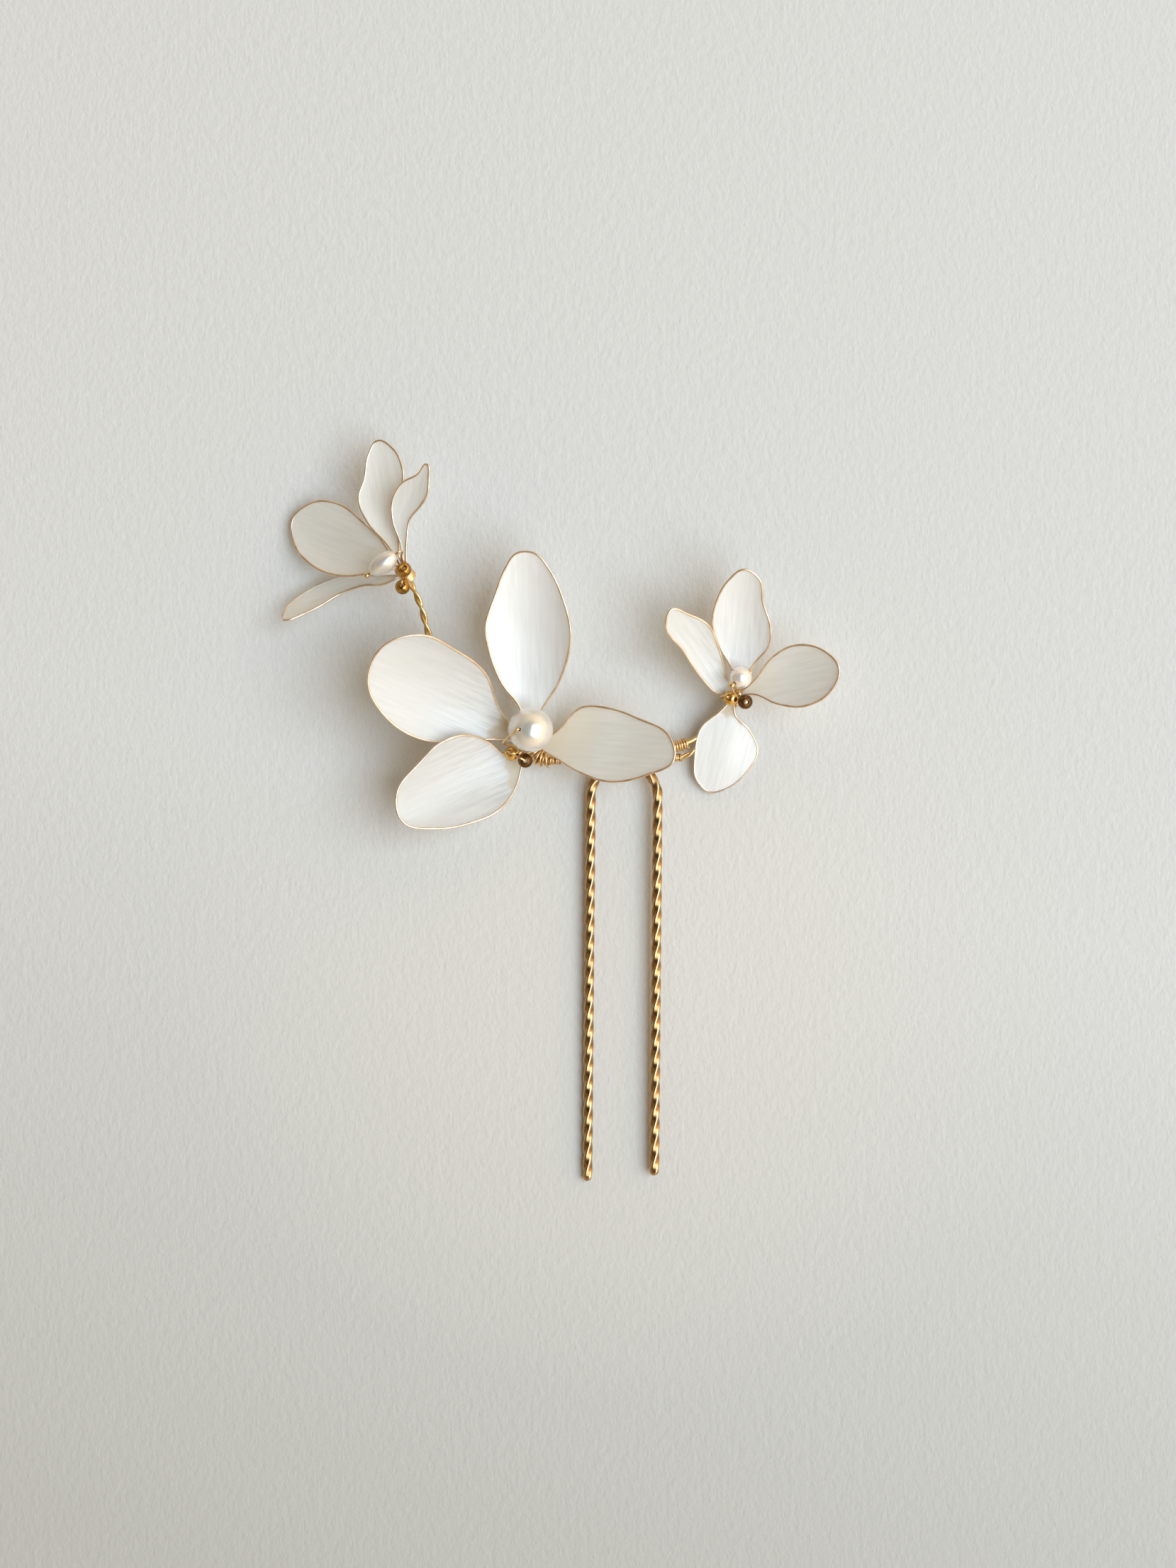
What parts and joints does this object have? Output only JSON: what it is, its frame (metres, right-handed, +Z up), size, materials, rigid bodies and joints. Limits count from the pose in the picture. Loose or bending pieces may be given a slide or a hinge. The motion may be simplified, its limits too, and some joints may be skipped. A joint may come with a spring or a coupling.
{
  "type": "decorative hair pin",
  "caption": "Two-prong hair pin of twisted gold wire with pearly wire-and-resin flowers, pearls and polished gold beads bound to its crown.",
  "frame": {"origin": "on the plane the pin lies on, under the middle of the whole pin", "axes": "+Z up, from the side that lies on the hair towards the side that is seen; the prongs point along -Y; +X towards the smaller flower on the right"},
  "size_m": [0.0965, 0.1293, 0.0202],
  "materials": {
    "fork_metal": "polished gold plate over twisted wire",
    "binding_wire": "polished gold-coloured craft wire",
    "petal_wire": "pale gold wire under clear resin",
    "bead_gold": "mirror-polished gold plate",
    "pearl": "nacreous, soft lustre",
    "resin_film": "translucent pearly white resin, satin to glossy, with brush streaks"
  },
  "bodies": {
    "fork": {"cross_wrap": "binding_wire", "crown_bundle": "binding_wire", "crown_wrap": "binding_wire", "hair_fork": "fork_metal", "large_bead_wire": "binding_wire", "large_centre_wire": "binding_wire", "large_hub": "binding_wire", "large_left_film": "resin_film", "large_left_loop": "petal_wire", "large_low_film": "resin_film", "large_low_loop": "petal_wire", "large_right_film": "resin_film", "large_right_loop": "petal_wire", "large_top_film": "resin_film", "large_top_loop": "petal_wire", "taper_wrap": "binding_wire"},
    "left_flower": {"left_bead_post": "binding_wire", "left_bead_wire": "binding_wire", "left_hub": "binding_wire", "left_left_film": "resin_film", "left_left_loop": "petal_wire", "left_low_film": "resin_film", "left_low_loop": "petal_wire", "left_pearl_pin": "binding_wire", "left_right_film": "resin_film", "left_right_loop": "petal_wire", "left_stem": "binding_wire", "left_top_film": "resin_film", "left_top_loop": "petal_wire"},
    "right_flower": {"right_bead_post": "binding_wire", "right_bead_wire": "binding_wire", "right_brace": "binding_wire", "right_brace_wrap": "binding_wire", "right_hub": "binding_wire", "right_left_film": "resin_film", "right_left_loop": "petal_wire", "right_low_film": "resin_film", "right_low_loop": "petal_wire", "right_pearl_pin": "binding_wire", "right_right_film": "resin_film", "right_right_loop": "petal_wire", "right_stem": "binding_wire", "right_top_film": "resin_film", "right_top_loop": "petal_wire", "right_wrap": "binding_wire"},
    "large_inner_bead": {"large_inner_bead": "bead_gold"},
    "large_outer_bead": {"large_outer_bead": "bead_gold"},
    "large_pearl": {"large_pearl": "pearl"},
    "left_lower_bead": {"left_lower_bead": "bead_gold"},
    "left_pearl": {"left_pearl": "pearl"},
    "left_upper_bead": {"left_upper_bead": "bead_gold"},
    "right_inner_bead": {"right_inner_bead": "bead_gold"},
    "right_outer_bead": {"right_outer_bead": "bead_gold"},
    "right_pearl": {"right_pearl": "pearl"}
  },
  "joints": [
    {"name": "left_stem_bend", "type": "hinge", "parent": "fork", "child": "left_flower", "pos_m": [-0.0073, 0.0136, 0.0024], "axis": [0, 0, 1], "range_deg": [-8, 8]},
    {"name": "right_stem_bend", "type": "hinge", "parent": "fork", "child": "right_flower", "pos_m": [0.0191, 0.011, 0.0033], "axis": [0, 0, 1], "range_deg": [-10, 10]},
    {"name": "large_pearl_spin", "type": "hinge", "parent": "fork", "child": "large_pearl", "pos_m": [-0.00475, 0.01445, 0.0095], "axis": [-0.4711, 0, 0.8821], "continuous": true},
    {"name": "large_outer_bead_spin", "type": "hinge", "parent": "fork", "child": "large_outer_bead", "pos_m": [-0.00805, 0.0104, 0.0064], "axis": [-0.3549, 0.2028, 0.9126], "continuous": true},
    {"name": "large_inner_bead_spin", "type": "hinge", "parent": "fork", "child": "large_inner_bead", "pos_m": [-0.0057, 0.0092, 0.0072], "axis": [0.0499, -0.0499, 0.9975], "continuous": true},
    {"name": "left_pearl_spin", "type": "hinge", "parent": "left_flower", "child": "left_pearl", "pos_m": [-0.0299, 0.0428, 0.0124], "axis": [-0.8026, -0.5618, -0.2006], "continuous": true},
    {"name": "left_upper_bead_spin", "type": "hinge", "parent": "left_flower", "child": "left_upper_bead", "pos_m": [-0.0264, 0.0419, 0.0111], "axis": [0.099, 0.099, 0.9901], "continuous": true},
    {"name": "left_lower_bead_spin", "type": "hinge", "parent": "left_flower", "child": "left_lower_bead", "pos_m": [-0.0268, 0.0391, 0.009], "axis": [0, 0.2496, 0.9684], "continuous": true},
    {"name": "right_pearl_spin", "type": "hinge", "parent": "right_flower", "child": "right_pearl", "pos_m": [0.0315, 0.0235, 0.0083], "axis": [-0.6001, -0.5401, 0.5901], "continuous": true},
    {"name": "right_inner_bead_spin", "type": "hinge", "parent": "right_flower", "child": "right_inner_bead", "pos_m": [0.0299, 0.02, 0.0064], "axis": [-0.2996, 0.0999, 0.9488], "continuous": true},
    {"name": "right_outer_bead_spin", "type": "hinge", "parent": "right_flower", "child": "right_outer_bead", "pos_m": [0.03235, 0.01935, 0.0076], "axis": [0.1476, -0.0984, 0.9841], "continuous": true}
  ]
}
